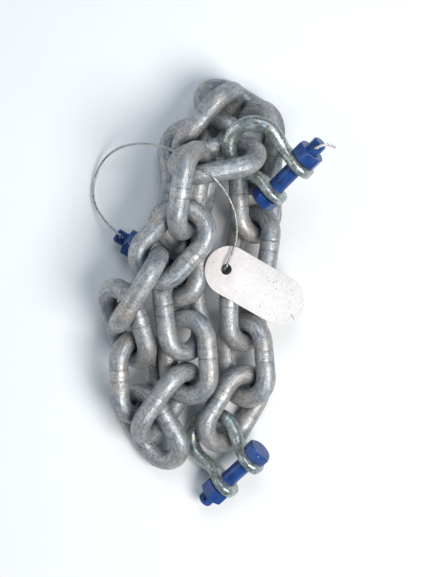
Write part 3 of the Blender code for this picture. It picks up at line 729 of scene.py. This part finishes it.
def make_bolt(name, middle, rot, phase):
    """Head with shank, then the thread; one closed solid with the pin hole bored through it."""
    ear = JAW / 2 + EAR_T
    hv, hf, he = hex_stack(HEAD_AF, ear + 0.35, ear + 0.35 + HEAD_T, phase, 0, 0.35, 2.4, crown=0.90)
    head = solid_of("head", hv, hf)
    prof = [(ear + 2.5, PIN / 2), (-ear + 1.0, PIN / 2), (-ear + 0.4, PIN / 2 - 0.5)]
    dense = []
    for a, b in zip(prof[:-1], prof[1:]):
        m = max(1, int(abs(b[0] - a[0]) / 1.5))
        dense += [(a[0] + (b[0] - a[0]) * k / m, a[1] + (b[1] - a[1]) * k / m) for k in range(m)]
    dense.append(prof[-1])
    sides = 64
    verts, edge = [], []
    for y, r in dense:
        for q in range(sides):
            a = 2 * math.pi * q / sides
            verts.append((r * math.cos(a), y, r * math.sin(a)))
            edge.append(0.12)
    tv, te, tn = thread_stack(-ear + 0.4, -ear - 0.35 - NUT_T - TAIL, THREAD / 2, 0.95, sides)
    verts += tv
    edge += te
    n = len(verts) // sides
    base = (n - 1) * sides
    faces = ring_faces(n, sides, False, caps=False)
    faces.append(tuple(range(sides)))
    yend = verts[-1][1]
    m = len(verts)
    for f in (0.8, 0.4):
        for q in range(sides):
            verts.append((verts[base + q][0] * f, yend, verts[base + q][2] * f))
    verts.append((0, yend, 0))
    for q in range(sides):
        q2 = (q + 1) % sides
        faces.append((base + q, base + q2, m + q2, m + q))
        faces.append((m + q, m + q2, m + sides + q2, m + sides + q))
        faces.append((m + sides + q, m + sides + q2, m + 2 * sides))
    shank = solid_of("shank", verts, faces)
    m = head.modifiers.new("join", "BOOLEAN")
    m.operation = "UNION"
    m.solver = "EXACT"
    m.object = shank
    evaluated(head)
    bpy.data.objects.remove(shank)
    # the hole for the locking wire, along z near the thread's end
    hv = []
    for z in (-12, 12):
        hv += [(1.75 * math.cos(2 * math.pi * k / 32), -ear - NUT_T - TAIL + 4.5 + 1.75 * math.sin(2 * math.pi * k / 32), z) for k in range(32)]
    hf = [tuple(range(32)), tuple(reversed(range(32, 64)))] + [(k, (k + 1) % 32, (k + 1) % 32 + 32, k + 32) for k in range(32)]
    hole = solid_of("hole", hv, hf)
    m = head.modifiers.new("hole", "BOOLEAN")
    m.operation = "DIFFERENCE"
    m.solver = "EXACT"
    m.object = hole
    evaluated(head)
    bpy.data.objects.remove(hole)
    me = head.data
    bpy.data.objects.remove(head)
    # wear on the edges, by place
    vals = []
    for v in me.vertices:
        x, y, z = v.co
        r = math.hypot(x, z)
        a = math.atan2(z, x)
        if y > ear + 0.2:
            k = (a - phase) % (math.pi / 3)
            near = min(k, math.pi / 3 - k) * corner(HEAD_AF)
            e = math.exp(-(near / 0.9) ** 2) if r > HEAD_AF / 2 - 1 else 0.0
            rim = math.exp(-((y - ear - 0.35 - HEAD_T) / 0.8) ** 2) if r > HEAD_AF / 2 - 1.6 else 0.0
            vals.append(max(e, rim))
        elif y > -ear:
            vals.append(0.12)
        else:
            out = (r - (THREAD / 2 - 0.95)) / 0.95
            tip = math.exp(-((y + ear + 0.35 + NUT_T + TAIL) / 0.8) ** 2)
            vals.append(min(1.0, max(0.7 * max(0.0, out - 0.6) / 0.4, 0.8 * tip if r > 4.0 else 0.1)))
    at = me.attributes.new("edge", "FLOAT", "POINT")
    at.data.foreach_set("value", np.array(vals, np.float32))
    me.transform(Matrix.Scale(MM, 4))
    me.transform(pose(middle, rot))
    me.name = name
    ob = bpy.data.objects.new(name + "_painted", me)
    bpy.context.scene.collection.objects.link(ob)
    me.materials.clear()
    me.materials.append(BLUE)
    me.polygons.foreach_set("use_smooth", [True] * len(me.polygons))
    me.set_sharp_from_angle(angle=math.radians(32))
    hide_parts(name)
    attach(ob, "root")
    return ob


def make_nut(name, middle, rot, phase):
    ear = JAW / 2 + EAR_T
    v, f, e = hex_stack(NUT_AF, -ear - 0.35 - NUT_T, -ear - 0.35, phase, THREAD / 2 + 0.3, 1.5, 0.8)
    ob = mesh_object(name + "_painted", v, f, BLUE, name, attrs={"edge": e})
    ob.data.transform(Matrix.Scale(MM, 4))
    ob.data.transform(pose(middle, rot))
    ob.data.set_sharp_from_angle(angle=math.radians(32))
    return ob


forging = forge_body()
for k, name in enumerate(("shackle_top", "shackle_bottom", "shackle_left")):
    middle, rot = shackle_frame(name)
    METAL.append(place_mesh(name + "_forging", forging, middle, rot, FORGED, name + "_body", 0.22, 4.1 * k))
    make_bolt(name + "_bolt", middle, rot, 0.0)
    make_nut(name + "_nut", middle, rot, 0.3)


# ------------------------------------------------------------------ tag
def make_tag():
    centre, rot, _ = axes_of("tag")
    if rot[2, 2] < 0:
        rot = np.stack([rot[:, 0], -rot[:, 1], -rot[:, 2]], 1)
    # the hole is at the end nearer the shackles' side of the heap; find it from the mesh
    co, _ = surface("tag")
    loc = (co - centre) @ rot / MM
    ring = loc[(np.abs(np.hypot(np.abs(loc[:, 0]) - (TAG_LEN / 2 - TAG_HOLE_IN), loc[:, 1]) - TAG_HOLE / 2) < 1.2)]
    if ring[:, 0].mean() > 0:
        rot = np.stack([-rot[:, 0], -rot[:, 1], rot[:, 2]], 1)
        loc = (co - centre) @ rot / MM
    mid = (loc[:, 0].min() + loc[:, 0].max()) / 2
    centre = centre + rot[:, 0] * mid * MM
    half = TAG_LEN / 2 - TAG_WID / 2
    N = 72
    rim = []
    per = 4 * half + 2 * math.pi * TAG_WID / 2
    R = TAG_WID / 2
    for k in range(N * 2):
        t = per * k / (N * 2)
        if t < math.pi * R:
            a = -math.pi / 2 + t / R
            rim.append((half + R * math.cos(a), R * math.sin(a), math.cos(a), math.sin(a)))
        elif t < math.pi * R + 2 * half:
            rim.append((half - (t - math.pi * R), R, 0, 1))
        elif t < 2 * math.pi * R + 2 * half:
            a = math.pi / 2 + (t - math.pi * R - 2 * half) / R
            rim.append((-half + R * math.cos(a), R * math.sin(a), math.cos(a), math.sin(a)))
        else:
            rim.append((-half + (t - 2 * math.pi * R - 2 * half), -R, 0, -1))
    T, b = TAG_T / 2, 0.35
    layers = [(0.0 + b * 1.0, -T), (b * 0.3, -T + b * 0.3), (0.0, -T + b), (0.0, T - b), (b * 0.3, T - b * 0.3), (b * 1.0, T)]
    verts = []
    for inset, z in layers:
        verts += [(x - nx * inset - 0.02 * nx, y - ny * inset - 0.02 * ny, z) for x, y, nx, ny in rim]
    n = len(rim)
    faces = []
    for j in range(len(layers) - 1):
        faces += [(j * n + k, j * n + (k + 1) % n, (j + 1) * n + (k + 1) % n, (j + 1) * n + k) for k in range(n)]
    faces += [tuple(reversed(range(n))), tuple((len(layers) - 1) * n + k for k in range(n))]
    plate = solid_of("plate", verts, faces)
    hx = -(TAG_LEN / 2 - TAG_HOLE_IN)
    hv = []
    for z in (-3, 3):
        hv += [(hx + TAG_HOLE / 2 * math.cos(2 * math.pi * k / 48), TAG_HOLE / 2 * math.sin(2 * math.pi * k / 48), z) for k in range(48)]
    hf = [tuple(range(48)), tuple(reversed(range(48, 96)))] + [(k, (k + 1) % 48, (k + 1) % 48 + 48, k + 48) for k in range(48)]
    cut = solid_of("cut", hv, hf)
    m = plate.modifiers.new("hole", "BOOLEAN")
    m.operation = "DIFFERENCE"
    m.solver = "EXACT"
    m.object = cut
    evaluated(plate)
    bpy.data.objects.remove(cut)
    me = plate.data
    bpy.data.objects.remove(plate)
    edge, along, across = [], [], []
    for v in me.vertices:
        x, y, z = v.co
        d = R - math.hypot(max(abs(x) - half, 0), y)
        h = math.hypot(x - hx, y) - TAG_HOLE / 2
        edge.append(max(math.exp(-(d / 0.3) ** 2), math.exp(-(h / 0.25) ** 2)))
        along.append((x + TAG_LEN / 2) / TAG_LEN)
        across.append(y / (TAG_WID / 2))
    for nm, vals in (("edge", edge), ("along", along), ("across", across)):
        at = me.attributes.new(nm, "FLOAT", "POINT")
        at.data.foreach_set("value", np.array(vals, np.float32))
    me.transform(Matrix.Scale(MM, 4))
    me.transform(pose(centre, rot))
    ob = bpy.data.objects.new("tag_plate", me)
    bpy.context.scene.collection.objects.link(ob)
    me.materials.clear()
    me.materials.append(TAGMAT)
    me.polygons.foreach_set("use_smooth", [True] * len(me.polygons))
    me.set_sharp_from_angle(angle=math.radians(40))
    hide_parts("tag")
    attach(ob, "root")
    return ob


make_tag()


# ------------------------------------------------------------------ the CAD's box
def keep_within(objects, low, high, zone):
    """Presses the outermost few mm of a piece in, where it passes the CAD's box."""
    for ob in objects:
        co = np.empty(len(ob.data.vertices) * 3, np.float32)
        ob.data.vertices.foreach_get("co", co)
        co = co.reshape(-1, 3)
        for k in range(3):
            for side, lim in ((1, high[k]), (-1, low[k])):
                t = co[:, k] * side - (lim * side - zone)
                if t.max() > zone:
                    m = t > 0
                    co[m, k] = side * (lim * side - zone + t[m] * (zone - 1e-6) / t.max())
        ob.data.vertices.foreach_set("co", co.reshape(-1))
        ob.data.update()


keep_within(METAL, cad_box[0], cad_box[1], 4 * MM)


# ------------------------------------------------------------------ painted shade in the gaps
def store_nearness(objects, reach):
    """Keeps on each point how near it lies to another piece, 0 to 1; the mask for the painted shade in the gaps."""
    trees, boxes = [], []
    for ob in objects:
        co = [v.co.copy() for v in ob.data.vertices]
        trees.append(BVHTree.FromPolygons(co, [tuple(f.vertices) for f in ob.data.polygons]))
        a = np.array(co)
        boxes.append((a.min(0) - reach, a.max(0) + reach))
    for i, ob in enumerate(objects):
        near = [j for j in range(len(objects)) if j != i and (boxes[j][0] < boxes[i][1]).all() and (boxes[j][1] > boxes[i][0]).all()]
        vals = []
        for v in ob.data.vertices:
            best = reach
            for j in near:
                d = trees[j].find_nearest(v.co, best)[3]
                if d is not None:
                    best = min(best, d)
            vals.append(1 - best / reach)
        at = ob.data.attributes.new("gap_shade", "FLOAT", "POINT")
        at.data.foreach_set("value", np.array(vals, np.float32))


store_nearness(METAL, 8 * MM)


# ------------------------------------------------------------------ wires
# the routes of part.py's two wires, mm in the heap's frame
ROUTE = [
    (-78.2, 45.0, 5.0), (-77.9, 45.4, 9.6), (-77.7, 45.9, 14.2), (-77.2, 46.2, 18.7), (-77.8, 47.2, 22.0), (-81.2, 50.0, 21.1),
    (-84.4, 52.8, 19.9), (-87.4, 55.6, 18.1), (-90.1, 58.5, 15.9), (-92.6, 61.4, 13.5), (-94.9, 64.5, 11.1), (-97.2, 67.8, 8.9),
    (-99.1, 71.4, 7.0), (-100.7, 75.3, 5.5), (-101.7, 79.5, 4.4), (-102.1, 83.8, 3.7), (-101.9, 88.3, 3.5), (-101.3, 92.7, 3.6),
    (-100.1, 97.0, 4.1), (-98.6, 101.1, 4.9), (-96.6, 105.0, 6.2), (-94.3, 108.4, 7.8), (-91.6, 111.5, 9.8), (-88.8, 114.0, 12.2),
    (-85.8, 116.1, 14.8), (-82.7, 117.7, 17.7), (-79.6, 118.9, 20.8), (-76.4, 119.7, 24.0), (-73.4, 120.3, 27.4), (-70.4, 120.6, 30.8),
    (-67.4, 120.7, 34.3), (-64.5, 120.6, 37.9), (-61.7, 120.4, 41.5), (-59.0, 120.1, 45.2), (-56.4, 119.6, 48.9), (-53.9, 119.0, 52.7),
    (-51.3, 118.3, 56.5), (-48.7, 117.6, 60.2), (-46.1, 116.7, 63.8), (-43.3, 115.8, 67.4), (-40.4, 114.6, 70.7), (-37.3, 113.3, 73.6),
    (-34.0, 111.6, 76.2), (-30.6, 109.6, 78.4), (-27.1, 107.4, 80.3), (-23.9, 104.7, 82.0), (-20.7, 101.6, 83.5), (-17.1, 99.6, 85.8),
    (-13.9, 97.9, 88.8), (-10.7, 96.1, 91.1), (-7.5, 94.0, 92.1), (-4.3, 91.5, 91.8), (-1.3, 88.8, 90.4), (1.5, 86.0, 88.3),
    (4.0, 83.3, 85.7), (6.4, 80.5, 83.0), (8.5, 77.5, 80.3), (10.5, 74.3, 77.7), (12.3, 71.0, 75.1), (13.8, 67.4, 72.7),
    (15.1, 63.8, 70.2), (16.0, 60.0, 67.9), (16.7, 56.0, 65.7), (17.1, 52.0, 63.5), (17.2, 47.9, 61.5), (16.8, 43.8, 59.7),
    (16.1, 39.8, 58.1), (15.0, 35.8, 57.1), (13.6, 31.9, 56.8), (12.1, 28.1, 57.2), (10.6, 24.5, 57.5), (9.1, 20.9, 57.3),
    (7.8, 19.1, 53.4), (6.9, 20.0, 48.9),
]
PIN_ROUTE = [
    (81.5, 118.0, 70.1), (80.7, 116.5, 73.8), (79.8, 114.9, 77.5), (78.9, 113.3, 81.2), (78.0, 111.7, 84.9), (78.7, 112.1, 88.8),
    (82.3, 113.5, 89.8), (86.3, 114.2, 89.6), (90.2, 113.1, 88.7), (93.9, 111.7, 87.7),
]


def smooth_line(pts, step):
    """Even points along a smooth curve through the route."""
    c = np.array(pts, float)
    c = np.vstack([2 * c[0] - c[1], c, 2 * c[-1] - c[-2]])
    out = []
    for k in range(1, len(c) - 2):
        p0, p1, p2, p3 = c[k - 1:k + 3]
        for t in np.arange(0, 1, 0.05):
            out.append(0.5 * (2 * p1 + (p2 - p0) * t + (2 * p0 - 5 * p1 + 4 * p2 - p3) * t * t + (3 * p1 - p0 - 3 * p2 + p3) * t ** 3))
    out.append(c[-2])
    out = np.array(out)
    s = np.concatenate([[0], np.cumsum(np.linalg.norm(np.diff(out, axis=0), axis=1))])
    n = int(round(s[-1] / step)) + 1
    return np.stack([np.interp(np.linspace(0, s[-1], n), s, out[:, k]) for k in range(3)], 1), s[-1]


def carried_frame(line):
    """A side and an up vector at each point that turn as little as they can."""
    t = np.gradient(line, axis=0)
    t /= np.linalg.norm(t, axis=1)[:, None]
    side = np.cross(t[0], (0.3, 0.9, 0.2))
    side /= np.linalg.norm(side)
    sides = [side]
    for k in range(1, len(line)):
        side = side - t[k] * (side @ t[k])
        side = side / np.linalg.norm(side)
        sides.append(side)
    sides = np.array(sides)
    return sides, np.cross(t, sides)


def rope(name, route, radius, strands, lay, mat, node, step, around, core=True, fray=None):
    """Strands laid round a core, each a round tube of its own, in one mesh; mm."""
    line, length = smooth_line(route, step)
    side, up = carried_frame(line)
    s = np.linspace(0, length, len(line))
    rs = radius * (0.345 if strands >= 5 else 0.5)
    rc = radius - rs
    verts, faces = [], []
    for j in range(strands + (1 if core else 0)):
        base = len(verts)
        if j == strands:
            mid, r = line, radius - 2 * rs + 0.12 * rs
        else:
            a = 2 * math.pi * (j / strands + s / lay)
            mid = line + rc * (np.cos(a)[:, None] * side + np.sin(a)[:, None] * up)
            r = rs
        if fray is not None and j < strands:
            # the cut end opens a little
            open_ = np.clip((s - (length - fray)) / fray, 0, 1) ** 2
            d = mid - line
            mid = mid + d * (open_ * (0.9 + 0.5 * math.sin(2.1 * j)))[:, None]
        sd, un = carried_frame(mid)
        for k in range(len(mid)):
            for q in range(around):
                b = 2 * math.pi * q / around
                verts.append((mid[k] + r * (math.cos(b) * sd[k] + math.sin(b) * un[k])) * MM)
        n = len(mid)
        for f in ring_faces(n, around, False):
            faces.append(tuple(base + v for v in f))
    ob = mesh_object(name, verts, faces, mat, node)
    return ob, line, length


tag_rope, rope_line, rope_len = rope("tag_wire_rope", ROUTE, WIRE / 2, 6, 11.0, ROPE, "tag_wire", 0.55, 7)
pin_rope, pin_line, pin_len = rope("shackle_top_locking_wire", PIN_ROUTE, PIN_WIRE / 2, 2, 5.5, PALE, "shackle_top_pin_wire", 0.35, 12, core=False)
print("tag wire", round(rope_len, 1), "mm, locking wire", round(pin_len, 1), "mm")


# ------------------------------------------------------------------ floor and light
def floor_material():
    n = Nodes("floor")
    col = n.ramp(n.noise(6, 4, 0.5), [(0.3, (0.775, 0.775, 0.78)), (0.7, (0.80, 0.80, 0.80))])
    n.set("Base Color", col)
    n.set("Roughness", 0.75)
    return n.mat


me = bpy.data.meshes.new("floor")
me.from_pydata([(-6, -6, 0), (6, -6, 0), (6, 6, 0), (-6, 6, 0)], [], [(0, 1, 2, 3)])
floor = bpy.data.objects.new("floor", me)
me.materials.append(floor_material())
bpy.context.scene.collection.objects.link(floor)


def area(name, at, size, power, colour, size_y=None):
    d = bpy.data.lights.new(name, "AREA")
    d.energy = power
    d.color = colour
    d.size = size
    if size_y:
        d.shape = "RECTANGLE"
        d.size_y = size_y
    o = bpy.data.objects.new(name, d)
    o.location = at
    o.rotation_mode = "QUATERNION"
    o.rotation_quaternion = (Vector((0, 0, 0.03)) - Vector(at)).to_track_quat("-Z", "Y")
    bpy.context.scene.collection.objects.link(o)
    return o


area("key", (0.75, -0.45, 1.35), 0.8, 27.7, (1.0, 0.985, 0.955))
area("fill", (-1.4, 0.2, 0.6), 1.0, 5.8, (1.0, 0.94, 0.88))
area("top", (0.1, 0.9, 1.4), 0.8, 9.0, (0.84, 0.92, 1.0))

world = bpy.data.worlds.new("studio")
world.use_nodes = True
bg = world.node_tree.nodes["Background"]
bg.inputs["Color"].default_value = (0.54, 0.76, 1.0, 1)
bg.inputs["Strength"].default_value = 0.25
bpy.context.scene.world = world
bpy.context.scene.view_settings.view_transform = "Standard"
